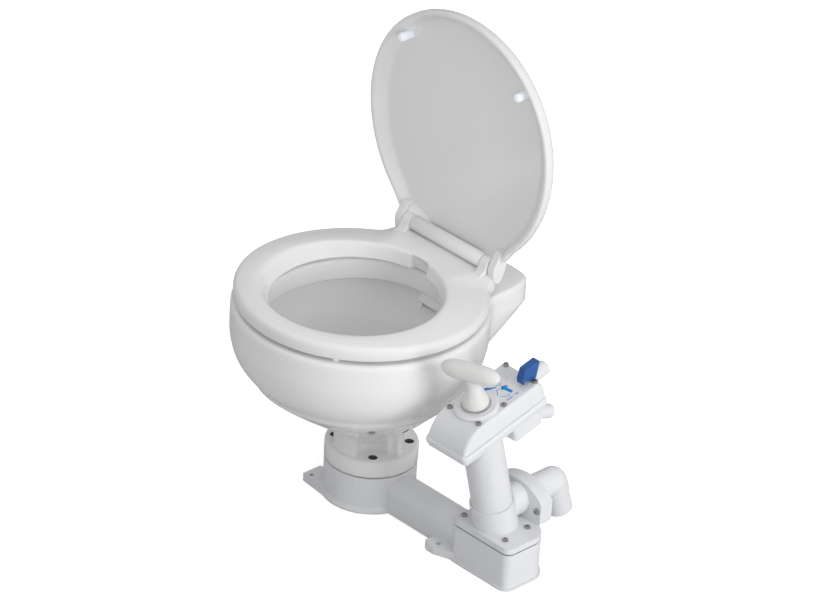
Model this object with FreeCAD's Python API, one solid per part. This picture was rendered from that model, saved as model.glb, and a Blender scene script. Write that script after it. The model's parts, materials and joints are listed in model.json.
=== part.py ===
import FreeCAD, Part
import math
import os

# Compact marine toilet with a hand pump.  All sizes in millimetres.
# Frame: origin on the deck under the bowl outlet, +X towards the pump, -Y the front, +Z up.

V = FreeCAD.Vector
X, Y, Z = V(1, 0, 0), V(0, 1, 0), V(0, 0, 1)
os.makedirs("parts", exist_ok=True)

# ---- base on the deck ----
POT_R = 65.0
POT_WALL = 6.0
POT_TOP = 55.0
GASKET_T = 2.0
FLANGE_Z = POT_TOP + GASKET_T
TUBE_HALF = 23.5
TUBE_BORE_R = 17.5
TAB_T = 12.0
TAB_HOLE_R = 3.6
BOWL_TABS_X, BOWL_TABS_Y = -62.3, 51.8
PUMP_TABS_X, PUMP_TABS_Y = 175.9, 35.6
BLOCK_X0, BLOCK_X1 = 199.0, 308.0
BLOCK_Y0, BLOCK_Y1 = -36.0, 44.0

# ---- bowl ----
OUTLET_R = 19.0
BOWL_FLANGE_TOP = 82.0
BOWL_BOLT_X, BOWL_BOLT_Y = 38.7, 34.7
RIM_Z = 314.0
RIM_R = 177.0
RIM_CY = -36.9
BOWL_WALL = 9.0
CERAMIC_PLY = 11.0
LEDGE_X, LEDGE_Y, LEDGE_Z = 105.0, 196.0, 288.0
LEDGE_CORNER = 38.0
INLET_Z = 266.0
INLET_R = 11.0

# ---- seat, lid and their hinge ----
HINGE_Y, HINGE_Z = 125.2, 350.2
PIN_R = 4.0
RUNNING = 0.05
BARREL_R = 11.0
LUG_R = 11.0
LID_ROOM_R = 13.5
BARREL_X = 68.5
SEAT_LUG_X0, SEAT_LUG_X1 = 69.0, 86.0
LID_LUG_X0, LID_LUG_X1 = 87.0, 102.0
POST_X, POST_Y = 56.0, 134.0
SEAT_Z0, SEAT_T = 320.0, 22.0
SEAT_R = 178.7
SEAT_BACK_Y = 112.0
OPENING_Y, OPENING_A, OPENING_B = -61.0, 132.0, 120.0
LID_SCALE = 0.97
LID_FRONT = HINGE_Y + 0.4
LID_DEPTH = 17.0
LID_PANEL_T = 4.0
LID_LIP = 9.0
LID_CENTRE_H = HINGE_Y - RIM_CY

# ---- pump, drawn upright about its own axis and then leaned forward ----
PUMP_X, PUMP_Y = 245.1, 18.8
LEAN_DEG = 15.0
CYL_R, CYL_BORE_R = 27.9, 25.4
CYL_N0, CYL_N1 = 94.0, 244.0
SOCKET_R, SOCKET_N1 = 31.0, 110.0
PLATE_T = 9.0
CHAMBER_R = 24.0
PORT_R = 17.0
HEAD_N0, HEAD_SEAM, COVER_TOP = 238.0, 247.0, 279.4
HEAD_X, HEAD_L0, HEAD_L1 = 37.5, -64.0, 91.0
COVER_WALL = 3.0
COVER_BROW_L = -22.0
COVER_SCREW_X = 27.5
COVER_SCREW_L = (-22.8, 24.3, 83.0)
ROD_R = 6.0
STUD_R = 4.0
PISTON_N0, PISTON_N1 = 120.0, 136.0
COLLAR_R, COLLAR_TOP = 31.0, 284.0
GRIP_N, GRIP_HALF, GRIP_R, GRIP_TURN = 336.0, 48.0, 13.0, 10.0
LEVER_X, LEVER_L = 13.0, 79.0
LEVER_SEAL_R = 6.5
LEVER_SEAL_N = COVER_TOP - 5.2
TAIL_R, TAIL_BORE_R = 10.0, 7.0

# ---- discharge ----
DIS_Z = 92.0
DIS_Y0, DIS_Y1, DIS_Y2 = 40.0, 53.0, 62.0
DIS_X0, DIS_X1, DIS_Z0, DIS_Z1 = 194.0, 290.0, 62.0, 120.0
ELBOW_FLANGE_R = 24.0
BOSS_R = 23.0
DIS_BORE_R = 17.0
SPIGOT_R, SPIGOT_BORE_R = 19.0, 16.0
BEND_Y = 107.0
SPIGOT_LEN = 53.0
SHOULDER = 18.0
SPIGOT_BACK_DEG = 20.0


# ---------------------------------------------------------------- helpers
def rod(r, length, at, axis=Z):
    return Part.makeCylinder(r, length, at, axis)


def ring(r_out, r_in, length, at, axis=Z):
    return rod(r_out, length, at, axis).cut(rod(r_in, length, at, axis))


def block(x0, x1, y0, y1, z0, z1):
    return Part.makeBox(x1 - x0, y1 - y0, z1 - z0, V(x0, y0, z0))


def prism(points, direction):
    closed = points + [points[0]]
    return Part.Face(Part.makePolygon(closed)).extrude(direction)


def slab(x0, x1, y0, y1, z0, z1, corner):
    """Box with rounded upright corners."""
    body = block(x0, x1, y0, y1, z0, z1)
    upright = [e for e in body.Edges if abs(e.Vertexes[0].Z - e.Vertexes[-1].Z) > 0.1]
    return body.makeFillet(corner, upright)


def ellipse_wire(a, b, centre):
    """Closed ellipse in a level plane, a along X and b along Y."""
    if a >= b:
        curve = Part.Ellipse(centre + V(a, 0, 0), centre + V(0, b, 0), centre)
    else:
        curve = Part.Ellipse(centre + V(0, b, 0), centre + V(-a, 0, 0), centre)
    return Part.Wire([curve.toShape()])


def loft(sections):
    """Smooth solid through level ellipses given as (z, a, b, centre y)."""
    wires = [ellipse_wire(a, b, V(0, cy, z)) for z, a, b, cy in sections]
    return Part.makeLoft(wires, True, False)


def turned(points, centre, axis):
    """Solid of revolution: points are (radius, height) pairs about an upright axis line."""
    outline = [centre + V(r, 0, h) for r, h in points]
    face = Part.Face(Part.makePolygon(outline + [outline[0]]))
    return face.revolve(centre, axis, 360)


def lean(shape):
    """Place a pump piece drawn with +Z as the pump axis and +Y as the head's long side."""
    leaned = shape.copy()
    leaned.rotate(V(0, 0, 0), X, LEAN_DEG)
    leaned.translate(V(PUMP_X, PUMP_Y, 0))
    return leaned


def fillet_safely(body, radius, chosen):
    edges = [e for e in body.Edges if chosen(e)]
    return body.makeFillet(radius, edges)


def pan_screw(head_r, head_h, shank_r, length, at, axis=Z):
    """Pan head with a cross recess; at is the underside of the head, axis points out of the head."""
    turn = FreeCAD.Rotation(Z, axis)
    head = rod(head_r, head_h, V(0, 0, 0))
    head = head.makeFillet(head_h * 0.6, [e for e in head.Edges if e.Vertexes[0].Z > 0.1 and e.Closed])
    slot = head_r * 0.55
    width = head_r * 0.14
    cross = block(-slot, slot, -width, width, head_h * 0.45, head_h + 1)
    cross = cross.fuse(block(-width, width, -slot, slot, head_h * 0.45, head_h + 1))
    screw = head.cut(cross).fuse(rod(shank_r, length, V(0, 0, -length)))
    screw.Placement = FreeCAD.Placement(at, turn)
    return screw


def hex_nut(flats, height, bore_r, at):
    corner = flats / math.sqrt(3)
    points = []
    for k in range(6):
        a = math.radians(60 * k)
        points.append(at + V(corner * math.cos(a), corner * math.sin(a), 0))
    return prism(points, V(0, 0, height)).cut(rod(bore_r, height, at))


def hose_tail(r, length, start, axis):
    """Plain hose tail with a rounded end; its bore is cut later."""
    tail = rod(r, length, start, axis)
    end = start + axis * length
    return tail.makeFillet(2.0, [e for e in tail.Edges if e.Closed and (e.CenterOfMass - end).Length < 0.1])


def corners(x, y):
    return [(-x, -y), (x, -y), (x, y), (-x, y)]


# ---------------------------------------------------------------- base
def deck_tab(x, y, sign):
    """Foot with one deck screw hole; sign is the side of the part it stands on."""
    if x < 0:
        plan = [(-72.5, 26), (-72.5, 58), (-18, 63.5), (-18, 40), (-46, 20)]
    else:
        plan = [(158, 20), (158, 43), (165, 47), (178, 47), (214, 33), (214, 20)]
    foot = prism([V(px, sign * py, 0) for px, py in plan], V(0, 0, TAB_T))
    return foot.cut(rod(TAB_HOLE_R, TAB_T, V(x, y, 0)))


def block_outline_solid(z0, z1, grow):
    """Plan of the pump block: square at the bowl side, one big rounded corner at the far side."""
    body = block(BLOCK_X0 - grow, BLOCK_X1 + grow, BLOCK_Y0 - grow, BLOCK_Y1 + grow, z0, z1)

    def upright_at(x, y):
        def chosen(e):
            a, b = e.Vertexes[0], e.Vertexes[-1]
            tall = abs(a.Z - b.Z) > 0.1
            return tall and abs(a.X - x) < 0.1 and abs(a.Y - y) < 0.1
        return chosen

    body = fillet_safely(body, 30 + grow, upright_at(BLOCK_X1 + grow, BLOCK_Y1 + grow))
    body = fillet_safely(body, 12 + grow, upright_at(BLOCK_X1 + grow, BLOCK_Y0 - grow))
    body = fillet_safely(body, 10 + grow, upright_at(BLOCK_X0 - grow, BLOCK_Y0 - grow))
    return fillet_safely(body, 14 + grow, upright_at(BLOCK_X0 - grow, BLOCK_Y1 + grow))


def port_centre():
    """Where the pump axis meets the base block's top face."""
    return V(PUMP_X, PUMP_Y - POT_TOP * math.tan(math.radians(LEAN_DEG)) - 2.0, POT_TOP)


def plate_screw_places():
    return [(206.0, -20.0), (285.2, -20.3), (281.3, 25.4), (207.0, 27.0)]


def base():
    arch_z = POT_TOP - 2.0 - TUBE_HALF
    pot = turned([(0, 0), (POT_R + 3, 0), (POT_R + 3, 3), (POT_R, 9), (POT_R, POT_TOP), (0, POT_TOP)], V(0, 0, 0), Z)
    body = pot.fuse(rod(TUBE_HALF, BLOCK_X0, V(10, 0, arch_z), X))
    body = body.fuse(block(10, BLOCK_X0 + 10, -TUBE_HALF, TUBE_HALF, 0, arch_z))
    body = body.fuse(block_outline_solid(0, POT_TOP, 0))
    body = body.fuse(block_outline_solid(0, 3, 3))
    for sign in (-1, 1):
        body = body.fuse(deck_tab(BOWL_TABS_X, sign * BOWL_TABS_Y, sign))
        body = body.fuse(deck_tab(PUMP_TABS_X, sign * PUMP_TABS_Y, sign))
    body = body.cut(rod(POT_R - POT_WALL, POT_TOP - 2 * POT_WALL, V(0, 0, POT_WALL)))
    body = body.cut(rod(OUTLET_R + 3, 20, V(0, 0, POT_TOP - 15)))
    body = body.cut(rod(TUBE_BORE_R, 190, V(40, 0, 27), X))
    port = port_centre()
    body = body.cut(slab(BLOCK_X0 + 14, BLOCK_X1 - 14, BLOCK_Y0 + 8, BLOCK_Y1 - 12, POT_WALL, 45, 6))
    body = body.cut(rod(PORT_R, 20, port - V(0, 0, 15)))
    for x, y in plate_screw_places():
        body = body.cut(rod(2.0, 12, V(x, y, POT_TOP - 12)))
    for x, y in corners(BOWL_BOLT_X, BOWL_BOLT_Y):
        body = body.cut(rod(4.2, 12, V(x, y, POT_TOP - 12)))
        body = body.cut(rod(8.0, 7, V(x, y, POT_TOP - POT_WALL - 7)))
    for sign in (-1, 1):
        body = body.cut(rod(TAB_HOLE_R, TAB_T, V(BOWL_TABS_X, sign * BOWL_TABS_Y, 0)))
        body = body.cut(rod(TAB_HOLE_R, TAB_T, V(PUMP_TABS_X, sign * PUMP_TABS_Y, 0)))
    return body.removeSplitter()


def bowl_seal():
    seal = ring(POT_R - 4, OUTLET_R + 1, GASKET_T, V(0, 0, POT_TOP))
    for x, y in corners(BOWL_BOLT_X, BOWL_BOLT_Y):
        seal = seal.cut(rod(4.5, GASKET_T, V(x, y, POT_TOP)))
    return seal


def bowl_bolts():
    return [pan_screw(8, 5, 4, 40, V(x, y, BOWL_FLANGE_TOP + 1.6)) for x, y in corners(BOWL_BOLT_X, BOWL_BOLT_Y)]


def bowl_washers():
    return [ring(8.5, 4.0, 1.6, V(x, y, BOWL_FLANGE_TOP)) for x, y in corners(BOWL_BOLT_X, BOWL_BOLT_Y)]


def bowl_nuts():
    top = POT_TOP - POT_WALL
    return [hex_nut(13, 5.5, 4.0, V(x, y, top - 5.5)) for x, y in corners(BOWL_BOLT_X, BOWL_BOLT_Y)]


# ---------------------------------------------------------------- bowl
def outer_sections(inset):
    """Outside of the bowl, level circles (z, a, b, centre y)."""
    heights = [(100, 36, -1), (112, 47, -3), (135, 75, -11), (170, 109, -27), (220, 158, -35)]
    heights += [(262, 175, RIM_CY), (300, RIM_R, RIM_CY), (308, RIM_R - 1, RIM_CY), (RIM_Z, RIM_R - 6, RIM_CY)]
    return [(z, r - inset, r - inset, cy) for z, r, cy in heights]


def inner_sections(grow):
    """Inside of the bowl below the rim step."""
    levels = [(100, 22, 22, 0), (122, 26, 26, -3), (150, 52, 54, -18), (190, 84, 92, -34)]
    levels += [(235, 105, 116, -43), (275, 115, 127, -46), (RIM_Z + 6, 118, 130, -46)]
    return [(z, a + grow, b + grow, cy) for z, a, b, cy in levels]


def bowl():
    body = loft(outer_sections(0))
    neck = rod(59, 60, V(0, 0, BOWL_FLANGE_TOP - 1))
    for x, y in corners(BOWL_BOLT_X * 1.12, BOWL_BOLT_Y * 1.12):
        neck = neck.cut(rod(22, 60, V(x, y, BOWL_FLANGE_TOP - 1)))
    body = body.fuse(neck)
    body = body.fuse(rod(POT_R + 0.5, BOWL_FLANGE_TOP - FLANGE_Z, V(0, 0, FLANGE_Z)))
    ledge = slab(-LEDGE_X, LEDGE_X, 20, LEDGE_Y, LEDGE_Z, RIM_Z, LEDGE_CORNER)
    ledge = ledge.cut(slab(-LEDGE_X + 9, LEDGE_X - 9, 40, LEDGE_Y - 9, LEDGE_Z - 1, RIM_Z - 12, LEDGE_CORNER - 9))
    body = body.fuse(ledge)
    hollow = loft(outer_sections(BOWL_WALL)).cut(loft(inner_sections(CERAMIC_PLY)))
    room = block(-250, 250, -260, 200, 128, RIM_Z - 14)
    body = body.cut(hollow.common(room))
    body = body.cut(loft(inner_sections(0)))
    step = loft([(RIM_Z - 13, 141, 139, -50), (RIM_Z + 5, 144, 142, -50)])
    body = body.cut(step)
    body = body.cut(rod(OUTLET_R, 60, V(0, 0, FLANGE_Z)))
    body = body.cut(rod(INLET_R, 90, V(0, 75, INLET_Z), Y))
    for x, y in corners(BOWL_BOLT_X, BOWL_BOLT_Y):
        body = body.cut(rod(4.5, 30, V(x, y, FLANGE_Z)))
        body = body.cut(rod(9.5, 30, V(x, y, BOWL_FLANGE_TOP)))
    for sign in (-1, 1):
        body = body.cut(rod(5.5, 40, V(sign * POST_X, POST_Y, LEDGE_Z - 5)))
        body = body.cut(rod(17, 15, V(sign * POST_X, POST_Y, RIM_Z - 27)))
    solids = sorted(body.Solids, key=lambda s: s.Volume)
    return solids[-1]


def inlet_seal():
    sleeve = ring(INLET_R, 9.0, 20, V(0, 126, INLET_Z), Y)
    return sleeve.fuse(ring(14, 9.0, 3, V(0, 146, INLET_Z), Y))


def inlet_elbow():
    reach = 168.0
    body = rod(9.0, reach - 126, V(0, 126, INLET_Z), Y)
    body = body.fuse(rod(12.0, 4, V(0, 149, INLET_Z), Y))
    body = body.fuse(Part.makeSphere(9.0, V(0, reach, INLET_Z)))
    body = body.fuse(rod(9.0, 14, V(0, reach, INLET_Z - 14)))
    body = body.fuse(hose_tail(TAIL_R, 26, V(0, reach, INLET_Z - 12), V(0, 0, -1)))
    body = body.cut(rod(6.5, reach - 126, V(0, 126, INLET_Z), Y))
    body = body.cut(Part.makeSphere(6.5, V(0, reach, INLET_Z)))
    return body.cut(rod(6.5, 38, V(0, reach, INLET_Z), V(0, 0, -1)))


# ---------------------------------------------------------------- seat and lid
def round_outline(scale, centre_y, back_y, back_x):
    """Nearly round outline with a short straight side at the hinge, level at z = 0."""
    points = []
    for deg in range(-140, 141, 10):
        a = math.radians(deg)
        r = scale * SEAT_R * (1 + 0.02 * math.cos(2 * a) - 0.01 * math.cos(3 * a))
        points.append(V(r * math.sin(a), centre_y - r * math.cos(a), 0))
    curve = Part.BSplineCurve()
    curve.interpolate(points)
    right, left = V(back_x, back_y, 0), V(-back_x, back_y, 0)
    edges = [curve.toShape(), Part.makeLine(points[-1], right)]
    edges += [Part.makeLine(right, left), Part.makeLine(left, points[0])]
    return Part.Face(Part.Wire(edges))


def hinge_lugs(x0, x1, profile, carrier):
    """Mirrored pair of hinge eyes fitted to their carrier; profile is the (y, z) polygon beside each eye."""
    width = x1 - x0
    lugs = []
    for start in (x0, -x1):
        eye = rod(LUG_R, width, V(start, HINGE_Y, HINGE_Z), X)
        plate = prism([V(start, y, z) for y, z in profile], V(width, 0, 0))
        bore = rod(PIN_R + RUNNING, width, V(start, HINGE_Y, HINGE_Z), X)
        lugs.append(eye.fuse(plate).cut(bore).cut(carrier).removeSplitter())
    return lugs


def seat():
    body = round_outline(1.0, RIM_CY, SEAT_BACK_Y, 106).extrude(V(0, 0, SEAT_T))
    body.translate(V(0, 0, SEAT_Z0))
    opening = Part.Face(ellipse_wire(OPENING_A, OPENING_B, V(0, OPENING_Y, SEAT_Z0))).extrude(V(0, 0, SEAT_T))
    body = body.cut(opening)
    top = SEAT_Z0 + SEAT_T
    body = fillet_safely(body, 9, lambda e: min(v.Z for v in e.Vertexes) > top - 0.1)
    groove = Part.Face(ellipse_wire(154, 154, V(0, RIM_CY, SEAT_Z0))).extrude(V(0, 0, 10))
    inner = Part.Face(ellipse_wire(OPENING_A + 7, OPENING_B + 7, V(0, OPENING_Y, SEAT_Z0))).extrude(V(0, 0, 10))
    body = body.cut(groove.cut(inner).common(block(-200, 200, -230, 60, SEAT_Z0, SEAT_Z0 + 10)))
    return body.removeSplitter()


def seat_lugs():
    profile = [(SEAT_BACK_Y, SEAT_Z0 + 2), (SEAT_BACK_Y, SEAT_Z0 + SEAT_T)]
    profile += [(HINGE_Y - 10.5, HINGE_Z - 1), (HINGE_Y + 3, HINGE_Z - 8)]
    return hinge_lugs(SEAT_LUG_X0, SEAT_LUG_X1, profile, seat())


def bumper_places():
    places = []
    for deg in (35, 120, 240, 325):
        a = math.radians(deg)
        places.append((163 * math.sin(a), RIM_CY - 163 * math.cos(a)))
    return places


def seat_bumpers():
    gap = 0.2
    height = SEAT_Z0 - RIM_Z - gap
    return [rod(4.5, height, V(x, y, SEAT_Z0 - height)) for x, y in bumper_places()]


def lid():
    """Shallow dish, drawn closed-side up and level, then stood upright in its open position."""
    body = round_outline(LID_SCALE, -LID_CENTRE_H, 5.0, 103).extrude(V(0, 0, LID_DEPTH))
    body = fillet_safely(body, 8, lambda e: min(v.Z for v in e.Vertexes) > LID_DEPTH - 0.1)
    dish_scale = LID_SCALE - LID_LIP / SEAT_R
    dish = round_outline(dish_scale, -LID_CENTRE_H, 6.0, 95).extrude(V(0, 0, LID_DEPTH - LID_PANEL_T))
    body = body.cut(dish)
    body.rotate(V(0, 0, 0), X, -90)
    body.translate(V(0, LID_FRONT, HINGE_Z))
    seat_lug_room = rod(LID_ROOM_R, LID_LUG_X0 * 2 - 1, V(-LID_LUG_X0 + 0.5, HINGE_Y, HINGE_Z), X)
    pin_bore = rod(PIN_R + RUNNING, 2 * LID_LUG_X1 + 4, V(-LID_LUG_X1 - 2, HINGE_Y, HINGE_Z), X)
    return body.cut(seat_lug_room).cut(pin_bore).removeSplitter()


def lid_lugs():
    back = LID_FRONT + LID_DEPTH - LID_PANEL_T + 1
    profile = [(HINGE_Y - 6, HINGE_Z + 8), (LID_FRONT, HINGE_Z + 26), (back, HINGE_Z + 26)]
    profile += [(back, HINGE_Z + 2), (HINGE_Y + 6, HINGE_Z - 8)]
    return hinge_lugs(LID_LUG_X0, LID_LUG_X1, profile, lid())


def lid_bumpers():
    panel_y = LID_FRONT + LID_DEPTH - LID_PANEL_T
    closed_panel_z = HINGE_Z + panel_y - HINGE_Y
    reach = closed_panel_z - (SEAT_Z0 + SEAT_T) - 0.3
    pieces = []
    for x in (-112, 112):
        stub = rod(6, reach, V(x, panel_y - reach, HINGE_Z + 270), Y)
        pieces.append(stub.makeFillet(4, [e for e in stub.Edges if e.Closed and e.Vertexes[0].Y < panel_y - 1]))
    return pieces


def hinge_barrel():
    body = rod(BARREL_R, 2 * BARREL_X, V(-BARREL_X, HINGE_Y, HINGE_Z), X)
    profile = [(HINGE_Y - 7, HINGE_Z - 5), (HINGE_Y + 7, HINGE_Z + 5), (POST_Y + 16, RIM_Z + 6)]
    profile += [(POST_Y + 16, RIM_Z), (POST_Y - 16, RIM_Z), (POST_Y - 18, RIM_Z + 10)]
    for sign in (-1, 1):
        x0 = sign * POST_X - 12
        body = body.fuse(prism([V(x0, y, z) for y, z in profile], V(24, 0, 0)))
    for sign in (-1, 1):
        body = body.cut(rod(4.0, 16, V(sign * POST_X, POST_Y, RIM_Z)))
        start = V(sign * 40 if sign > 0 else -BARREL_X, HINGE_Y, HINGE_Z)
        body = body.cut(rod(PIN_R, BARREL_X - 40, start, X))
    return body


def hinge_pins():
    length = LID_LUG_X1 - 40.5
    pins = []
    for x0 in (40.5, -LID_LUG_X1):
        pins.append(rod(PIN_R, length, V(x0, HINGE_Y, HINGE_Z), X))
    return pins


def hinge_bolts():
    return [rod(4.0, 44, V(sign * POST_X, POST_Y, RIM_Z - 28)) for sign in (-1, 1)]


def hinge_washers():
    top = RIM_Z - 12
    return [ring(11, 4.0, 2, V(sign * POST_X, POST_Y, top - 2)) for sign in (-1, 1)]


def hinge_wing_nuts():
    nuts = []
    top = RIM_Z - 14
    for sign in (-1, 1):
        centre = V(sign * POST_X, POST_Y, top - 9)
        wings = block(-16, 16, -1.6, 1.6, 0, 9).fuse(rod(7.5, 9, V(0, 0, 0)))
        wings.translate(centre)
        nuts.append(wings.cut(rod(4.0, 9, centre)))
    return nuts


# ---------------------------------------------------------------- pump, lower end
def chamber_tool():
    """Room inside the lower housing: leaning bore, cylinder socket and the way out to the discharge."""
    tool = lean(rod(CHAMBER_R, 120, V(0, 0, 30)))
    tool = tool.fuse(lean(rod(CYL_R + 0.1, 40, V(0, 0, CYL_N0 - 2))))
    return tool.common(block(150, 350, -80, 80, FLANGE_Z, 300))


def valve_gasket():
    sheet = block_outline_solid(POT_TOP, FLANGE_Z, -1.5)
    sheet = sheet.cut(rod(PORT_R + 6, GASKET_T, port_centre()))
    for x, y in plate_screw_places():
        sheet = sheet.cut(rod(2.4, GASKET_T, V(x, y, POT_TOP)))
    return sheet


def valve_flap():
    centre = port_centre()
    disc = rod(PORT_R + 4, GASKET_T, centre)
    tongue = block(centre.x - 6, centre.x + 6, centre.y, centre.y + PORT_R + 4, POT_TOP, FLANGE_Z)
    bead = rod(GASKET_T / 2, 12, V(centre.x - 6, centre.y + PORT_R + 4, POT_TOP + GASKET_T / 2), X)
    return disc.fuse(tongue).fuse(bead).cut(rod(1.5, GASKET_T, centre))


def flap_weight():
    centre = port_centre()
    top = rod(10, 5, V(centre.x, centre.y, FLANGE_Z))
    stud = rod(1.5, GASKET_T, centre)
    under = rod(8, 2, centre - V(0, 0, 2))
    return top.fuse(stud).fuse(under)


def discharge_plate(y0, y1):
    """Arched upright plate of the discharge joint."""
    mid = (DIS_X0 + DIS_X1) / 2
    shoulder = 100.0
    p = [V(DIS_X0 + 7, y0, DIS_Z0), V(DIS_X0, y0, DIS_Z0 + 7), V(DIS_X0, y0, shoulder)]
    q = [V(DIS_X1, y0, shoulder), V(DIS_X1, y0, DIS_Z0 + 7), V(DIS_X1 - 7, y0, DIS_Z0)]
    arch = Part.Arc(p[2], V(mid, y0, DIS_Z1), q[0]).toShape()
    edges = [Part.makeLine(p[0], p[1]), Part.makeLine(p[1], p[2]), arch]
    edges += [Part.makeLine(q[0], q[1]), Part.makeLine(q[1], q[2]), Part.makeLine(q[2], p[0])]
    return Part.Face(Part.Wire(edges)).extrude(V(0, y1 - y0, 0))


def discharge_screw_places():
    return [(207.0, 87.0), (283.0, 87.0)]


def lower_housing():
    plate = block_outline_solid(FLANGE_Z, FLANGE_Z + PLATE_T, 0)
    socket = lean(rod(SOCKET_R, SOCKET_N1 - 20, V(0, 0, 20)))
    socket = socket.common(block(150, 350, -80, 80, FLANGE_Z, 300))
    body = plate.fuse(socket)
    body = body.fuse(rod(BOSS_R, DIS_Y1 - 2, V(PUMP_X, 2, DIS_Z), Y).cut(lean(rod(CYL_R, 100, V(0, 0, 60)))))
    body = body.fuse(discharge_plate(DIS_Y0, DIS_Y1))
    body = body.cut(chamber_tool())
    body = body.cut(rod(DIS_BORE_R, DIS_Y1, V(PUMP_X, 2, DIS_Z), Y).cut(lean(ring(60, CHAMBER_R + 0.5, 200, V(0, 0, CYL_N0 - 2)))))
    body = body.cut(rod(24, 2, V(PUMP_X, DIS_Y1 - 2, DIS_Z), Y))
    for x, y in plate_screw_places():
        body = body.cut(rod(2.4, PLATE_T, V(x, y, FLANGE_Z)))
        body = body.cut(rod(5.2, 60, V(x, y, FLANGE_Z + PLATE_T)))
    for x, z in discharge_screw_places():
        body = body.cut(rod(2.2, DIS_Y1 - DIS_Y0, V(x, DIS_Y0, z), Y))
    solids = sorted(body.removeSplitter().Solids, key=lambda s: s.Volume)
    return solids[-1]


def plate_screws():
    top = FLANGE_Z + PLATE_T
    return [pan_screw(4.6, 3, 2.0, top - POT_TOP + 10, V(x, y, top)) for x, y in plate_screw_places()]


def joker_valve():
    """Rubber duckbill held between the two discharge plates."""
    at = V(PUMP_X, DIS_Y1 - 2, DIS_Z)
    lips = Part.makeCone(15.5, 6, 26, V(PUMP_X, DIS_Y1, DIS_Z), Y)
    body = rod(24, 2, at, Y).fuse(lips)
    body = body.cut(rod(13, 2, at, Y)).cut(Part.makeCone(13, 4, 24, V(PUMP_X, DIS_Y1, DIS_Z), Y))
    return body.cut(block(PUMP_X - 5, PUMP_X + 5, DIS_Y1 + 20, DIS_Y1 + 30, DIS_Z - 0.4, DIS_Z + 0.4))


def elbow_direction():
    back = math.radians(SPIGOT_BACK_DEG)
    return V(0, math.sin(back), -math.cos(back))


def discharge_elbow():
    down = elbow_direction()
    bend = V(PUMP_X, BEND_Y, DIS_Z)
    body = rod(ELBOW_FLANGE_R, 3.8, V(PUMP_X, DIS_Y1 + 2.1, DIS_Z), Y)
    body = body.fuse(rod(20, BEND_Y - DIS_Y1 - 2.1, V(PUMP_X, DIS_Y1 + 2.1, DIS_Z), Y))
    body = body.fuse(Part.makeSphere(20, bend))
    body = body.fuse(rod(SPIGOT_R, SPIGOT_LEN, bend, down))
    body = body.fuse(rod(SPIGOT_R + 1.5, SHOULDER, bend, down))
    body = body.cut(rod(SPIGOT_BORE_R, BEND_Y - DIS_Y1, V(PUMP_X, DIS_Y1, DIS_Z), Y))
    body = body.cut(Part.makeSphere(SPIGOT_BORE_R, bend))
    return body.cut(rod(SPIGOT_BORE_R, SPIGOT_LEN + 1, bend, down))


def discharge_retainer():
    body = discharge_plate(DIS_Y1, DIS_Y2)
    body = body.cut(rod(20.05, 20, V(PUMP_X, DIS_Y1, DIS_Z), Y))
    body = body.cut(rod(ELBOW_FLANGE_R + 0.5, 6, V(PUMP_X, DIS_Y1, DIS_Z), Y))
    for x, z in discharge_screw_places():
        body = body.cut(rod(1.8, DIS_Y2, V(x, DIS_Y1, z), Y))
    return body


def elbow_seal():
    return ring(ELBOW_FLANGE_R, 21, 1.8, V(PUMP_X, DIS_Y1 + 0.2, DIS_Z), Y)


def discharge_screws():
    depth = DIS_Y2 - DIS_Y0 - 2
    return [pan_screw(4.8, 3, 1.8, depth, V(x, DIS_Y0, z), V(0, -1, 0)) for x, z in discharge_screw_places()]


# ---------------------------------------------------------------- pump, barrel and moving rod
def pump_cylinder():
    return lean(ring(CYL_R, CYL_BORE_R, CYL_N1 - CYL_N0, V(0, 0, CYL_N0)))


def seal_lower():
    return lean(ring(CYL_R - 0.1, CYL_BORE_R, 1.8, V(0, 0, CYL_N0 - 1.9)))


def seal_upper():
    return lean(ring(CYL_R - 0.1, CYL_BORE_R, 1.4, V(0, 0, CYL_N1 + 0.1)))


def piston_rod():
    shaft = rod(ROD_R, GRIP_N - 22 - PISTON_N1, V(0, 0, PISTON_N1 + 0.1))
    return lean(shaft.fuse(rod(STUD_R, 30, V(0, 0, PISTON_N1 + 0.1 - 30))))


def piston():
    body = rod(CYL_BORE_R - 0.5, PISTON_N1 - PISTON_N0, V(0, 0, PISTON_N0))
    for n in (PISTON_N0 + 3, PISTON_N1 - 6):
        body = body.cut(ring(CYL_BORE_R + 1, CYL_BORE_R - 3, 3, V(0, 0, n)))
    return lean(body.cut(rod(STUD_R + RUNNING, 40, V(0, 0, PISTON_N0 - 5))))


def piston_rings():
    outer = CYL_BORE_R - RUNNING
    return [lean(ring(outer, CYL_BORE_R - 3, 3, V(0, 0, n))) for n in (PISTON_N0 + 3, PISTON_N1 - 6)]


def piston_washer():
    return lean(ring(12, STUD_R, 2, V(0, 0, PISTON_N0 - 2.1)))


def piston_nut():
    return lean(hex_nut(13, 6.5, STUD_R, V(0, 0, PISTON_N0 - 8.6)))


def handle_hub():
    """Bell-shaped hub under the grip."""
    foot = COLLAR_TOP + 0.6
    profile = [(ROD_R, foot), (18, foot), (19, foot + 3), (18.5, foot + 9), (16, foot + 17), (12.5, foot + 25)]
    profile += [(10.5, foot + 33), (10.5, GRIP_N - 6), (ROD_R, GRIP_N - 6)]
    return turned(profile, V(0, 0, 0), Z)


def handle_grip():
    grip = Part.makeSphere(GRIP_R, V(0, 0, 0))
    matrix = FreeCAD.Matrix()
    matrix.scale(GRIP_HALF / GRIP_R, 1.0, 1.0)
    grip = grip.transformGeometry(matrix)
    grip.rotate(V(0, 0, 0), Z, GRIP_TURN)
    grip.translate(V(0, 0, GRIP_N))
    body = grip.fuse(handle_hub())
    return lean(body.cut(rod(ROD_R, 60, V(0, 0, 254))))


# ---------------------------------------------------------------- pump head
def head_plan(grow, n0, n1):
    return slab(-HEAD_X - grow, HEAD_X + grow, HEAD_L0 - grow, HEAD_L1 + grow, n0, n1, 6 + grow)


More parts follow.
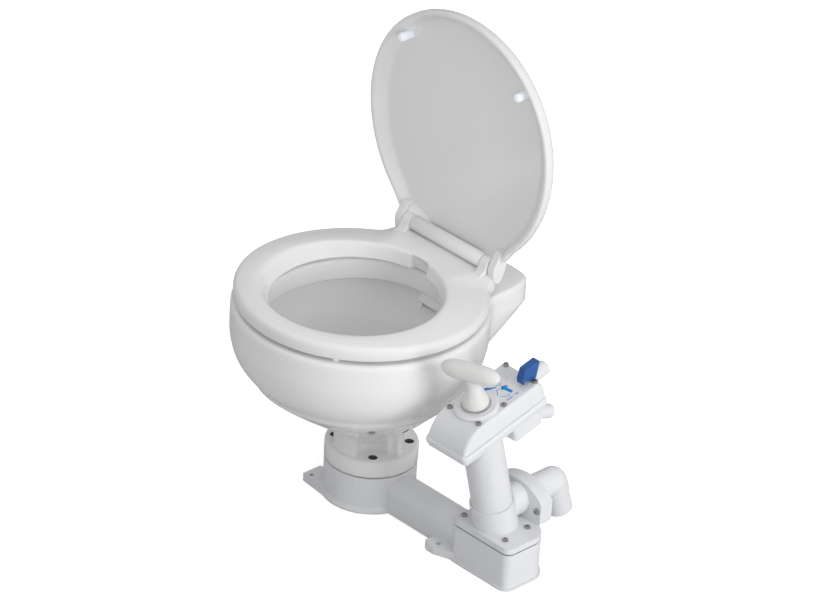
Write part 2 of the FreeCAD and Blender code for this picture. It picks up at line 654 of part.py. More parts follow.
def flush_tail_place():
    return V(5, HEAD_L1 - 4, 267)


def intake_tail_place():
    return V(16, 74, 226)


def intake_direction():
    drop = math.radians(34)
    return V(0, math.cos(drop), -math.sin(drop))


def head_body():
    body = head_plan(0, HEAD_N0, HEAD_SEAM)
    ports = slab(-30, 30, 33, 84, 208, HEAD_N0 + 1, 5)
    body = body.fuse(ports)
    tail = intake_tail_place()
    along = intake_direction()
    body = body.fuse(hose_tail(TAIL_R, 44, tail, along))
    body = body.fuse(rod(TAIL_R + 1.5, 20, tail, along))
    body = body.cut(rod(CYL_R + 0.1, CYL_N1 - HEAD_N0 + 1.5, V(0, 0, HEAD_N0)))
    body = body.cut(rod(ROD_R + 3, 30, V(0, 0, HEAD_N0)))
    for side in (-1, 1):
        body = body.cut(slab(side * 15 - 12, side * 15 + 12, 38, 79, 213, HEAD_SEAM + 1, 4))
    body = body.cut(rod(TAIL_BORE_R, 54, tail - along * 8, along))
    body = body.cut(block(-4, 4, 10, 42, CYL_N1, HEAD_SEAM + 1))
    for x, l in cover_screw_places():
        body = body.cut(rod(2.0, 20, V(x, l, HEAD_N0 - 1)))
    solids = sorted(body.Solids, key=lambda s: s.Volume)
    return lean(solids[-1])


def cover_screw_places():
    return [(side * COVER_SCREW_X, l) for side in (-1, 1) for l in COVER_SCREW_L]


def top_gasket():
    """Rubber sheet between head and cover, with a cut-out tongue over each valve chamber."""
    seam = HEAD_SEAM
    sheet = head_plan(-1.5, seam, seam + GASKET_T).cut(rod(ROD_R + 4, GASKET_T, V(0, 0, seam)))
    for side in (-1, 1):
        gap = ring(9.5, 8.5, GASKET_T, V(side * 15, 58, seam))
        gap = gap.cut(block(side * 15 - 4, side * 15 + 4, 64, 70, seam, seam + GASKET_T))
        sheet = sheet.cut(gap)
    for x, l in cover_screw_places():
        sheet = sheet.cut(rod(2.3, GASKET_T, V(x, l, seam)))
    return lean(sheet)


def cover_profile(inset, n0):
    """Side view of the cover as a face across the whole width."""
    top, front, back = COVER_TOP - inset, HEAD_L0 + 1.5 + inset, HEAD_L1 - 1.5 - inset
    half = HEAD_X - 1.5 - inset
    a, b, c = V(-half, front, n0), V(-half, front, n0 + 3), V(-half, COVER_BROW_L, top)
    rise, run = top - b.z, c.y - b.y
    radius = (run * run + rise * rise) / (2 * rise)
    turn = 0.5 * math.asin(run / radius)
    bow = V(-half, c.y - radius * math.sin(turn), top - radius + radius * math.cos(turn))
    d, e, f = V(-half, back - 6, top), V(-half, back - 1, top - 5), V(-half, back, n0)
    edges = [Part.makeLine(a, b), Part.Arc(b, bow, c).toShape(), Part.makeLine(c, d)]
    edges += [Part.makeLine(d, e), Part.makeLine(e, f), Part.makeLine(f, a)]
    return Part.Face(Part.Wire(edges)).extrude(V(2 * half, 0, 0))


def valve_cover():
    seam = HEAD_SEAM + GASKET_T
    body = cover_profile(0, seam)
    body = fillet_safely(body, 5, lambda e: min(v.Z for v in e.Vertexes) > seam + 0.1 and abs(e.CenterOfMass.x) > HEAD_X - 2)
    body = body.cut(cover_profile(COVER_WALL, seam))
    inside = cover_profile(1.0, seam)
    body = body.fuse(ring(14, 8.0, COVER_TOP - seam, V(0, 0, seam)).common(inside.fuse(rod(14, 60, V(0, 0, seam)))))
    body = body.fuse(ring(COLLAR_R, COLLAR_R - 4, 5, V(0, 0, COVER_TOP - 5)))
    for x, l in cover_screw_places():
        body = body.fuse(rod(5, COVER_TOP - seam - 1, V(x, l, seam)).common(inside))
    tail = flush_tail_place()
    body = body.fuse(hose_tail(TAIL_R, 36, tail, Y))
    body = body.fuse(rod(TAIL_R + 1.5, 5, tail, Y))
    body = body.cut(rod(8.0, 60, V(0, 0, seam)))
    body = body.cut(rod(10, 9, V(0, 0, seam)))
    body = body.cut(rod(5 + RUNNING, 60, V(LEVER_X, LEVER_L, seam + 14)))
    body = body.cut(rod(LEVER_SEAL_R, 4, V(LEVER_X, LEVER_L, LEVER_SEAL_N - 2)))
    body = body.cut(rod(TAIL_BORE_R, 60, tail - V(0, 6, 0), Y))
    body = body.cut(Part.makeCone(2, 15, 7, V(-10, 70, COVER_TOP - 2.2)))
    for x, l in cover_screw_places():
        body = body.cut(rod(2.3, 60, V(x, l, seam)))
    solids = sorted(body.Solids, key=lambda s: s.Volume)
    return lean(solids[-1])


def cover_screws():
    depth = COVER_TOP - HEAD_N0 - 2
    return [lean(pan_screw(4.2, 3, 2.0, depth, V(x, l, COVER_TOP))) for x, l in cover_screw_places()]


def rod_seal():
    return lean(ring(9.9, ROD_R + RUNNING, 7, V(0, 0, HEAD_SEAM + GASKET_T + 1)))


def rod_bush():
    return lean(ring(8.0, ROD_R + RUNNING, 15, V(0, 0, COVER_TOP - 17)))


def handle_collar():
    profile = [(9, COVER_TOP), (COLLAR_R, COVER_TOP), (COLLAR_R, COVER_TOP + 2), (COLLAR_R - 3, COLLAR_TOP)]
    profile += [(20.5, COLLAR_TOP), (20.5, COLLAR_TOP - 2), (9, COLLAR_TOP - 2)]
    collar = turned(profile, V(0, 0, 0), Z)
    for x, l in cover_screw_places():
        collar = collar.cut(rod(4.6, 10, V(x, l, COVER_TOP)))
    return lean(collar)


def lever_spindle():
    shaft = rod(5, 30, V(LEVER_X, LEVER_L, COVER_TOP - 22))
    cam = rod(5.6, 5, V(LEVER_X + 1.5, LEVER_L - 1.5, COVER_TOP - 24))
    return lean(shaft.fuse(cam))


def lever_seal():
    return lean(ring(LEVER_SEAL_R, 5.0 + RUNNING, 2, V(LEVER_X, LEVER_L, LEVER_SEAL_N)))


def flow_lever():
    foot = COVER_TOP + 0.5
    hub = rod(8.5, 9, V(LEVER_X, LEVER_L, foot))
    side = [(-5, 2), (-6, 11), (3, 22), (20, 25), (25, 19), (23, 8), (16, 5), (8, 4)]
    blade = prism([V(LEVER_X - 7, LEVER_L + l, foot + n) for l, n in side], V(14, 0, 0))
    body = hub.fuse(blade)
    return lean(body.cut(rod(5, 7.6, V(LEVER_X, LEVER_L, foot))))


# ---------------------------------------------------------------- export
PIECES = {
    "base": base,
    "bowl_seal": bowl_seal,
    "bowl": bowl,
    "bowl_bolts": bowl_bolts,
    "bowl_washers": bowl_washers,
    "bowl_nuts": bowl_nuts,
    "inlet_seal": inlet_seal,
    "inlet_elbow": inlet_elbow,
    "seat": seat,
    "seat_lugs": seat_lugs,
    "seat_bumpers": seat_bumpers,
    "lid": lid,
    "lid_lugs": lid_lugs,
    "lid_bumpers": lid_bumpers,
    "hinge_barrel": hinge_barrel,
    "hinge_pins": hinge_pins,
    "hinge_bolts": hinge_bolts,
    "hinge_washers": hinge_washers,
    "hinge_wing_nuts": hinge_wing_nuts,
    "valve_gasket": valve_gasket,
    "valve_flap": valve_flap,
    "flap_weight": flap_weight,
    "lower_housing": lower_housing,
    "plate_screws": plate_screws,
    "joker_valve": joker_valve,
    "discharge_elbow": discharge_elbow,
    "discharge_retainer": discharge_retainer,
    "elbow_seal": elbow_seal,
    "discharge_screws": discharge_screws,
    "pump_cylinder": pump_cylinder,
    "seal_lower": seal_lower,
    "seal_upper": seal_upper,
    "piston_rod": piston_rod,
    "piston": piston,
    "piston_rings": piston_rings,
    "piston_washer": piston_washer,
    "piston_nut": piston_nut,
    "handle_grip": handle_grip,
    "head_body": head_body,
    "top_gasket": top_gasket,
    "valve_cover": valve_cover,
    "cover_screws": cover_screws,
    "rod_seal": rod_seal,
    "rod_bush": rod_bush,
    "handle_collar": handle_collar,
    "lever_spindle": lever_spindle,
    "lever_seal": lever_seal,
    "flow_lever": flow_lever,
}

for name, make in PIECES.items():
    made = make()
    if isinstance(made, list):
        made = Part.makeCompound(made)
    if not made.isValid() or made.Volume <= 0:
        raise ValueError(name + " is not a valid solid")
    made.exportStep("parts/" + name + ".step")
    print(name, len(made.Solids), "solid(s)", round(made.Volume / 1000, 1), "cm3")
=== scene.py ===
import bmesh
import bpy
import json
import math
from mathutils import Matrix, Vector


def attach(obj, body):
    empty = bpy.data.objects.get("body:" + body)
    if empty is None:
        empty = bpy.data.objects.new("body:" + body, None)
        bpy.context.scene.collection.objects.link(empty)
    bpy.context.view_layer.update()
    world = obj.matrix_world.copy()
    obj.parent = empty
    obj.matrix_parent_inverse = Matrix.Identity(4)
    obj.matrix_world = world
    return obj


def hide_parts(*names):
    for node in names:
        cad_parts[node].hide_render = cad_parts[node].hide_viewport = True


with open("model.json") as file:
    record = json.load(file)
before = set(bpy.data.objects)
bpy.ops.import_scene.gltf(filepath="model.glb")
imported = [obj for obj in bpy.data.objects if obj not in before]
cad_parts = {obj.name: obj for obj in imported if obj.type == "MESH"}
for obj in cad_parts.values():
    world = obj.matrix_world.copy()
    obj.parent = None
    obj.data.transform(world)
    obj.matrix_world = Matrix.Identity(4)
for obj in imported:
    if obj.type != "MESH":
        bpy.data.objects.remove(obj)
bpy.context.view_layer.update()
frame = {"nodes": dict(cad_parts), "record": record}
NODES = frame["nodes"]
MM = 0.001

# ---- driving sizes, in millimetres, in the row frame ----
# Pedestal. SCALLOPS are (x, y, radius) of the hollows over one bolt, repeated at each of CORNERS.
CORNERS = ((1, 1), (1, -1), (-1, -1), (-1, 1))
FLANGE_R, NECK_R, RIB_TURN = 65.5, 57.5, math.radians(66)
SCALLOPS = [(44.5, 38.0, 26.0), (57.0, 22.0, 17.0)]
FLANGE_BOLT = (38.7, 34.7)
PEDESTAL_TOP = 142

# Bowl. Curves are (height, value): outside radius, the inside's two half widths, and centre shifts in y.
RIM_Z, RIM_R, RIM_CY = 314.0, 177.3, -36.9
LEDGE_X, LEDGE_Y, LEDGE_Z, CORBEL_Z = 105.0, 199.0, 280.0, 200.0
RIM_ROUND, BOWL_START, RING_GAP = 8, 100, 5
BOWL_CURVE = [(98, 34), (112, 46), (135, 75), (170, 112), (205, 147)]
BOWL_CURVE += [(235, 168), (262, 176), (285, RIM_R), (314, RIM_R)]
BOWL_SHIFT = [(98, 0), (135, -11), (170, -25), (205, -34), (235, RIM_CY), (314, RIM_CY)]
INSIDE_A = [(92, 19), (106, 20), (118, 24), (135, 38), (160, 62)]
INSIDE_A += [(190, 87), (225, 112), (260, 130), (280, 135), (292, 135)]
INSIDE_B = [(92, 19), (106, 20), (118, 24), (135, 40), (160, 66)]
INSIDE_B += [(190, 94), (225, 122), (260, 144), (280, 151), (292, 151)]
INSIDE_SHIFT = [(92, 0), (118, -4), (160, -24), (190, -36), (225, -44), (292, -50)]
RIM_A, RIM_B, RIM_SHIFT = 118.0, 134.0, -50.0

# Hinge
HINGE_Y, HINGE_Z = 125.2, 350.2
BARREL_R, BARREL_X = 10.8, 68.3
PIN_R, PIN_START = 3.9, 41
EAR_R, SEAT_EAR_X, LID_EAR_X = 11.0, (69.0, 84.5), (85.3, 99.0)

# Seat. BAND and NOSE are (half width, half length, centre y, height) of the ring where the top
# starts to fall to the opening and of the opening's edge.
SEAT_Z0, SEAT_TOP, SEAT_BACK_TOP = 320.0, 341.0, 333.0
SEAT_R, SEAT_NECK_X, SEAT_NECK_Y, SEAT_ROUND = 174.5, 103.0, 126.0, 9.0
OPENING_Y = -58.0
BAND = (132.0, 127.5, -56.0, 341.5)
NOSE = (113.5, 118.5, -50.5, 322.0)
NOTCH_X, NOTCH_DEPTH = 14.5, 9.0
TONGUE_RISE = 7.4

# Lid, standing open: depths run to the rear from LID_FRONT and heights up from the hinge axis
LID_FRONT, LID_CENTRE_H, LID_R = HINGE_Y + 0.4, HINGE_Y - RIM_CY, 175.8
LID_DEPTH, LID_DISH, LID_NECK_X, LID_FOOT_H = 18.0, 13.5, 103.0, 12.0
BACK_ROUND, LIP_ROUND, LIP_WIDTH = 9, 3.5, 6.5

# Pump: x across and l along its head, n up its leaning axis
PUMP_X, PUMP_Y, LEAN = 245.1, 18.8, math.radians(15)
HEAD_X, HEAD_L0, HEAD_L1 = 37.5, -64.0, 91.0
HEAD_CORNER, COVER_TOP, COLLAR_TOP = 7, 279.4, 284.0
GRIP_N, GRIP_HALF, GRIP_R, GRIP_TURN = 340.0, 44.0, 13.8, math.radians(17)
LEVER_X, LEVER_L = 13.0, 79.0

# Fineness of round shapes
ROUND_STEPS = 192
QUARTER_TURN = [math.radians(15 * step) for step in range(7)]

# ---- camera, in metres, with its lens and sensor in millimetres ----
EYE = Vector((4.05880, -4.06436, 3.58969))
CAM_RIGHT = Vector((0.68913, 0.72228, 0.05844))
CAM_UP = Vector((-0.39468, 0.30648, 0.86620))
LENS, SENSOR = 208.5497, 36.0


# ---------------------------------------------------------------- node helpers
def node_tree(name, colour, rough, metal=0.0, coat=0.0, coat_rough=0.05, sss=0.0):
    """New material with one Principled shader, returned with its node and link lists."""
    mat = bpy.data.materials.new(name)
    mat.use_nodes = True
    nodes, links = mat.node_tree.nodes, mat.node_tree.links
    shader = nodes["Principled BSDF"]
    shader.inputs["Base Color"].default_value = (*colour, 1)
    shader.inputs["Roughness"].default_value = rough
    shader.inputs["Metallic"].default_value = metal
    shader.inputs["Coat Weight"].default_value = coat
    shader.inputs["Coat Roughness"].default_value = coat_rough
    if sss:
        shader.inputs["Subsurface Weight"].default_value = sss
        shader.inputs["Subsurface Radius"].default_value = (0.004, 0.004, 0.004)
    return mat, nodes, links, shader


def noise(nodes, links, scale, detail=3.0, stretch=None):
    """Noise in object space, stretched by an (x, y, z) scale if one is given."""
    coords = nodes.new("ShaderNodeTexCoord")
    tex = nodes.new("ShaderNodeTexNoise")
    tex.inputs["Scale"].default_value = scale
    tex.inputs["Detail"].default_value = detail
    if stretch:
        mapping = nodes.new("ShaderNodeMapping")
        mapping.inputs["Scale"].default_value = stretch
        links.new(coords.outputs["Object"], mapping.inputs["Vector"])
        links.new(mapping.outputs["Vector"], tex.inputs["Vector"])
    else:
        links.new(coords.outputs["Object"], tex.inputs["Vector"])
    return tex.outputs["Fac"]


def spread(nodes, links, value, low, high):
    """Map a noise value, which mostly lies between 0.3 and 0.7, onto low..high."""
    ramp = nodes.new("ShaderNodeMapRange")
    ramp.inputs["From Min"].default_value = 0.3
    ramp.inputs["From Max"].default_value = 0.7
    ramp.inputs["To Min"].default_value = low
    ramp.inputs["To Max"].default_value = high
    links.new(value, ramp.inputs["Value"])
    return ramp.outputs["Result"]


def tint(nodes, links, shader, value, dark, light):
    """Base colour that wanders between two close shades."""
    mix = nodes.new("ShaderNodeMix")
    mix.data_type = "RGBA"
    mix.inputs["A"].default_value = (*dark, 1)
    mix.inputs["B"].default_value = (*light, 1)
    links.new(value, mix.inputs["Factor"])
    links.new(mix.outputs["Result"], shader.inputs["Base Color"])


def relief(nodes, links, shader, value, strength, distance, edge_mm=0.0):
    """Bump from a value, over edges rounded by edge_mm."""
    bump = nodes.new("ShaderNodeBump")
    bump.inputs["Strength"].default_value = strength
    bump.inputs["Distance"].default_value = distance
    links.new(value, bump.inputs["Height"])
    if edge_mm:
        bevel = nodes.new("ShaderNodeBevel")
        bevel.samples = 6
        bevel.inputs["Radius"].default_value = edge_mm * MM
        links.new(bevel.outputs["Normal"], bump.inputs["Normal"])
    links.new(bump.outputs["Normal"], shader.inputs["Normal"])
    links.new(bump.outputs["Normal"], shader.inputs["Coat Normal"])


# ---------------------------------------------------------------- materials
def glazed_ceramic():
    colour = (0.84, 0.84, 0.835)
    mat, nodes, links, shader = node_tree("glazed_ceramic", colour, 0.16, coat=1.0, coat_rough=0.03)
    tint(nodes, links, shader, noise(nodes, links, 6, 2), (0.825, 0.825, 0.82), (0.855, 0.855, 0.85))
    relief(nodes, links, shader, noise(nodes, links, 28, 2), 0.06, 0.0015)
    return mat


def seat_plastic():
    mat, nodes, links, shader = node_tree("seat_plastic", (0.80, 0.80, 0.80), 0.22, coat=0.8, coat_rough=0.06)
    tint(nodes, links, shader, noise(nodes, links, 9, 3), (0.785, 0.785, 0.785), (0.815, 0.815, 0.815))
    relief(nodes, links, shader, noise(nodes, links, 90, 3), 0.05, 0.0006, 1.0)
    return mat


def pump_plastic():
    colour = (0.79, 0.80, 0.815)
    mat, nodes, links, shader = node_tree("pump_plastic", colour, 0.38, coat=0.25, coat_rough=0.2, sss=0.15)
    tint(nodes, links, shader, noise(nodes, links, 14, 4), (0.745, 0.755, 0.77), (0.77, 0.78, 0.795))
    links.new(spread(nodes, links, noise(nodes, links, 60, 4), 0.33, 0.46), shader.inputs["Roughness"])
    relief(nodes, links, shader, noise(nodes, links, 700, 5), 0.10, 0.0002, 1.2)
    return mat


def grip_plastic():
    colour = (0.76, 0.755, 0.74)
    mat, nodes, links, shader = node_tree("grip_plastic", colour, 0.32, coat=0.5, coat_rough=0.12)
    tint(nodes, links, shader, noise(nodes, links, 20, 3), (0.745, 0.74, 0.725), (0.775, 0.77, 0.755))
    relief(nodes, links, shader, noise(nodes, links, 500, 4), 0.06, 0.0002, 0.8)
    return mat


def blue_plastic():
    colour = (0.006, 0.085, 0.32)
    mat, nodes, links, shader = node_tree("blue_plastic", colour, 0.34, coat=0.3, coat_rough=0.15)
    tint(nodes, links, shader, noise(nodes, links, 30, 3), (0.005, 0.075, 0.28), (0.008, 0.095, 0.35))
    relief(nodes, links, shader, noise(nodes, links, 600, 4), 0.08, 0.0002, 1.2)
    return mat


def printed_ink():
    mat, nodes, links, shader = node_tree("printed_ink", (0.0, 0.24, 0.60), 0.5)
    tint(nodes, links, shader, noise(nodes, links, 300, 2), (0.0, 0.21, 0.55), (0.005, 0.27, 0.64))
    return mat


def clear_rubber():
    mat, nodes, links, shader = node_tree("clear_rubber", (0.80, 0.83, 0.90), 0.35, sss=0.5)
    # Emission here is a painted glow that brightens the clear rubber beyond what the lamps give; the rubber
    # itself gives off no light.
    shader.inputs["Emission Color"].default_value = (0.9, 0.92, 1, 1)
    shader.inputs["Emission Strength"].default_value = 0.16
    tint(nodes, links, shader, noise(nodes, links, 60, 2), (0.78, 0.81, 0.89), (0.83, 0.86, 0.92))
    relief(nodes, links, shader, noise(nodes, links, 300, 2), 0.1, 0.0002)
    return mat


def grey_plastic():
    mat, nodes, links, shader = node_tree("grey_plastic", (0.45, 0.46, 0.47), 0.5)
    tint(nodes, links, shader, noise(nodes, links, 40, 3), (0.42, 0.43, 0.44), (0.48, 0.49, 0.50))
    relief(nodes, links, shader, noise(nodes, links, 600, 4), 0.15, 0.0002, 0.5)
    return mat


def steel():
    mat, nodes, links, shader = node_tree("steel", (0.55, 0.55, 0.56), 0.26, metal=1.0)
    grain = noise(nodes, links, 400, 3, (1, 1, 12))
    links.new(spread(nodes, links, grain, 0.2, 0.36), shader.inputs["Roughness"])
    tint(nodes, links, shader, noise(nodes, links, 80, 3), (0.36, 0.35, 0.34), (0.52, 0.51, 0.50))
    relief(nodes, links, shader, grain, 0.08, 0.0001, 0.25)
    return mat


def painted_shade_steel():
    # Near-black steel: painted shade that stands for the darkness of a deep bolt recess, not the steel's own
    # colour.
    mat, nodes, links, shader = node_tree("painted_shade_steel", (0.045, 0.04, 0.036), 0.5, metal=0.6)
    tint(nodes, links, shader, noise(nodes, links, 260, 3), (0.03, 0.027, 0.024), (0.06, 0.055, 0.05))
    return mat


def rubber():
    mat, nodes, links, shader = node_tree("rubber", (0.02, 0.02, 0.021), 0.62)
    tint(nodes, links, shader, noise(nodes, links, 50, 3), (0.015, 0.015, 0.016), (0.028, 0.028, 0.03))
    relief(nodes, links, shader, noise(nodes, links, 900, 4), 0.2, 0.0002, 0.3)
    return mat


def brass():
    mat, nodes, links, shader = node_tree("brass", (0.60, 0.42, 0.15), 0.3, metal=1.0)
    tint(nodes, links, shader, noise(nodes, links, 70, 3), (0.54, 0.37, 0.12), (0.66, 0.47, 0.19))
    relief(nodes, links, shader, noise(nodes, links, 500, 4), 0.1, 0.0002, 0.3)
    return mat


MATERIALS = {
    "ceramic": glazed_ceramic(),
    "seat_plastic": seat_plastic(),
    "hinge_plastic": seat_plastic(),
    "clear_rubber": clear_rubber(),
    "pump_plastic": pump_plastic(),
    "grip_plastic": grip_plastic(),
    "blue_plastic": blue_plastic(),
    "grey_plastic": grey_plastic(),
    "steel": steel(),
    "rubber": rubber(),
    "brass": brass(),
}


def paint_cad_nodes():
    for part in frame["record"]["subparts"]:
        obj = NODES[part["node"]]
        obj.data.materials.clear()
        obj.data.materials.append(MATERIALS[part["material_slot"]])


paint_cad_nodes()


# ---------------------------------------------------------------- shape helpers
def ease(low, high, value):
    """0 below low, 1 above high, smooth between."""
    t = min(max((value - low) / (high - low), 0.0), 1.0)
    return t * t * (3 - 2 * t)


def soft_max(a, b, width):
    """The larger of two lengths, with the corner between them rounded over a width."""
    overlap = max(width - abs(a - b), 0.0) / width
    return max(a, b) + overlap * overlap * width / 4


def soft_min(a, b, width):
    """The smaller of two lengths, rounded over in the same way."""
    return -soft_max(-a, -b, width)


def along(points, value):
    """Smooth curve through (position, height) points, read at a position."""
    if value <= points[0][0]:
        return points[0][1]
    if value >= points[-1][0]:
        return points[-1][1]
    i = max(k for k in range(len(points) - 1) if points[k][0] <= value)
    (x0, y0), (x1, y1) = points[i], points[i + 1]
    before, after = points[max(i - 1, 0)], points[min(i + 2, len(points) - 1)]
    step = x1 - x0
    rise0 = (y1 - before[1]) / (x1 - before[0]) * step
    rise1 = (after[1] - y0) / (after[0] - x0) * step
    t = (value - x0) / step
    start = (2 * t**3 - 3 * t**2 + 1) * y0 + (t**3 - 2 * t**2 + t) * rise0
    return start + (3 * t**2 - 2 * t**3) * y1 + (t**3 - t**2) * rise1


def corner_reach(angle, side, rear, power=12):
    """Distance from a centre to a rounded rectangle lying behind it; angle 0 looks to the rear."""
    if math.cos(angle) <= 0:
        return 0.0
    sides = (abs(math.sin(angle)) / side) ** power
    back = (math.cos(angle) / rear) ** power
    return (sides + back) ** (-1 / power)


def circle_reach(angle, radius, shift):
    """Distance from a centre to a circle whose own centre lies shift further to the rear."""
    return shift * math.cos(angle) + math.sqrt(radius**2 - (shift * math.sin(angle)) ** 2)


def around(steps=ROUND_STEPS):
    """Evenly spaced angles of one full turn."""
    return [2 * math.pi * k / steps for k in range(steps)]


def mesh_object(name, points, faces):
    """Smooth-shaded mesh from points in millimetres, with its faces looking outwards."""
    data = bpy.data.meshes.new(name)
    data.from_pydata([Vector(p) * MM for p in points], [], faces)
    cleaner = bmesh.new()
    cleaner.from_mesh(data)
    bmesh.ops.recalc_face_normals(cleaner, faces=cleaner.faces)
    cleaner.to_mesh(data)
    cleaner.free()
    data.polygons.foreach_set("use_smooth", [True] * len(data.polygons))
    obj = bpy.data.objects.new(name, data)
    bpy.context.scene.collection.objects.link(obj)
    return obj


def rings_object(name, rings, close_start=False, close_end=False, loop=False):
    """Skin over rings that all have the same number of points."""
    count = len(rings[0])
    points = [p for ring in rings for p in ring]
    faces = []
    last = len(rings) if loop else len(rings) - 1
    for i in range(last):
        a, b = i * count, (i + 1) % len(rings) * count
        for j in range(count):
            k = (j + 1) % count
            faces.append((a + j, a + k, b + k, b + j))
    if close_start:
        faces.append(tuple(range(count)))
    if close_end:
        faces.append(tuple((len(rings) - 1) * count + j for j in range(count)))
    return mesh_object(name, points, faces)


def soften(obj, width_mm, segments=3):
    """Round the sharp edges of a solid with a bevel, keeping flat faces flat."""
    bevel = obj.modifiers.new("soften", "BEVEL")
    bevel.width = width_mm * MM
    bevel.segments = segments
    bevel.limit_method = "ANGLE"
    bevel.angle_limit = math.radians(32)
    bevel.harden_normals = True
    return obj


def prism_object(name, outline, offset):
    """Solid between an outline and the same outline moved by an offset."""
    count = len(outline)
    points = list(outline) + [tuple(Vector(p) + Vector(offset)) for p in outline]
    faces = [tuple(range(count)), tuple(range(2 * count - 1, count - 1, -1))]
    for j in range(count):
        k = (j + 1) % count
        faces.append((j, k, count + k, count + j))
    return mesh_object(name, points, faces)


def dress(obj, body, slot, *nodes):
    """Give a piece its body, its material slot and the CAD nodes it stands for."""
    obj.data.materials.append(MATERIALS[slot])
    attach(obj, body)
    if nodes:
        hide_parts(*nodes)
    return obj


def in_pump(x, l, n):
    """Row-frame point of the leaning pump: x across, l along the head, n up the pump axis."""
    y = PUMP_Y + l * math.cos(LEAN) - n * math.sin(LEAN)
    z = l * math.sin(LEAN) + n * math.cos(LEAN)
    return (PUMP_X + x, y, z)


def pump_ring(x, l, n, radius, steps):
    """Circle round the pump's axis direction, centred at a place on the pump."""
    return [in_pump(x + radius * math.sin(t), l + radius * math.cos(t), n) for t in around(steps)]


def hinge_ring(x, radius, steps):
    """Circle round the hinge axis."""
    return [(x, HINGE_Y + radius * math.sin(t), HINGE_Z + radius * math.cos(t)) for t in around(steps)]


def side_name(sign):
    return "right" if sign > 0 else "left"


# ---------------------------------------------------------------- bowl
def bowl_ring(z, inset):
    """Level ring of the bowl's outside, growing into the hinge ledge at the rear."""
    radius, shift = along(BOWL_CURVE, z), along(BOWL_SHIFT, z)
    grow = min(max((z - CORBEL_Z) / (LEDGE_Z - CORBEL_Z), 0.0), 1.0)
    ring = []
    for angle in around():
        ledge = corner_reach(angle, LEDGE_X, LEDGE_Y - shift, power=8.5)
        reach = soft_max(radius, radius + (ledge - radius) * grow, width=18) - inset
        ring.append((reach * math.sin(angle), shift + reach * math.cos(angle), z))
    return ring


def oval_ring(a, b, shift, z, angles=None):
    """Level ellipse with half width a and half length b, its centre at y = shift."""
    angles = angles or around()
    return [(a * math.sin(t), shift + b * math.cos(t), z) for t in angles]


def build_bowl():
    """Outside from the foot up, over the rim, down its inner lip, and down the inside to the outlet."""
    rings = [bowl_ring(z, 0) for z in range(BOWL_START, 306, RING_GAP)]
    for turn in QUARTER_TURN[1:]:
        z = RIM_Z - RIM_ROUND + RIM_ROUND * math.sin(turn)
        rings.append(bowl_ring(z, RIM_ROUND * (1 - math.cos(turn))))
    lip = [(6, 0), (2.5, -0.8), (0.6, -3), (0, -7), (0, -29), (0.8, -31.4), (2.5, -33), (6, -33), (11, -29)]
    lip += [(14, -25), (16.5, -27), (17, -32)]
    for out, down in lip:
        rings.append(oval_ring(RIM_A + out, RIM_B + out, RIM_SHIFT, RIM_Z + down))
    for z in range(279, 90, -RING_GAP):
        rings.append(oval_ring(along(INSIDE_A, z), along(INSIDE_B, z), along(INSIDE_SHIFT, z), z))
    dress(rings_object("bowl_shell", rings), "toilet_frame", "ceramic", "bowl")


def neck_reach(angle):
    """Outline of the pedestal under the bowl: round, hollowed out over the four bolts, a fin at each side."""
    reach = NECK_R
    for x, y, radius in SCALLOPS:
        for sx, sy in CORNERS:
            apart = angle - math.atan2(sx * x, sy * y)
            across = math.hypot(x, y) * math.sin(apart)
            if math.cos(apart) > 0 and abs(across) < radius:
                hit = math.hypot(x, y) * math.cos(apart) - math.sqrt(radius**2 - across**2)
                reach = soft_min(reach, hit, width=4)
    return reach


def build_pedestal():
    """Round flange, then the hollowed neck, which widens into the underside of the bowl."""
    steps = 288
    flange = [(63.5, 57), (65, 57.5), (FLANGE_R, 59), (FLANGE_R, 78), (64.8, 80.3), (63, 81.6), (60.5, 82)]
    rings = []
    for radius, z in flange:
        rings.append([(radius * math.sin(t), radius * math.cos(t), z) for t in around(steps)])
    neck = [(2.6, 82), (0.9, 82.9)] + [(0, z) for z in range(85, PEDESTAL_TOP, 3)] + [(-3, PEDESTAL_TOP)]
    for grow, z in neck:
        ring = []
        for t in around(steps):
            bowl_side = circle_reach(t, along(BOWL_CURVE, z), along(BOWL_SHIFT, z))
            bowl_side -= 1.2 * max(BOWL_START - z, 0)
            reach = soft_max(neck_reach(t), bowl_side + 0.2, width=14) + grow
            ring.append((reach * math.sin(t), reach * math.cos(t), z))
        rings.append(ring)
    dress(rings_object("pedestal", rings, True, True), "toilet_frame", "ceramic", "bowl")
    rib_curve = ((0.6, 60), (1, 61.5), (1, 78), (0.6, 79.5))
    rib_rings = [oval_ring(3.2 * k, 1.3 * k, 0, z, around(24)) for k, z in rib_curve]
    rib = rings_object("flange_rib", rib_rings, True, True)
    rib.matrix_world = Matrix.Rotation(RIB_TURN, 4, "Z") @ Matrix.Translation((0, -FLANGE_R * MM, 0))
    dress(rib, "toilet_frame", "ceramic")


def lathe(name, cx, cy, curve, close_end=False):
    """Surface turned about an upright axis from (radius, height) points."""
    rings = [[(cx + r * math.sin(t), cy + r * math.cos(t), z) for t in around(40)] for r, z in curve]
    return rings_object(name, rings, False, close_end)


def build_flange_bolts():
    """Bolt recesses sunk in the flange: a rounded lip round a near-black floor, whose darkness is painted
    shade for a deep recess over the bolt head.
    """
    recess_painted_shade = painted_shade_steel()
    for k, (sx, sy) in enumerate(CORNERS):
        cx, cy = sx * FLANGE_BOLT[0], sy * FLANGE_BOLT[1]
        lip = lathe("bolt_lip_%d" % k, cx, cy, [(8.4, 81.9), (7.6, 82.7), (6.9, 82.9), (6.4, 82.4)])
        dress(lip, "toilet_frame", "ceramic")
        floor = lathe("bolt_floor_%d" % k, cx, cy, [(6.9, 82.1), (4.0, 82.15), (0.3, 82.2)], close_end=True)
        dress(floor, "toilet_frame", "steel", "bowl_bolts", "bowl_washers")
        # The floor's near-black colour is painted shade of a deep recess over the hidden bolt head.
        floor.data.materials[0] = recess_painted_shade


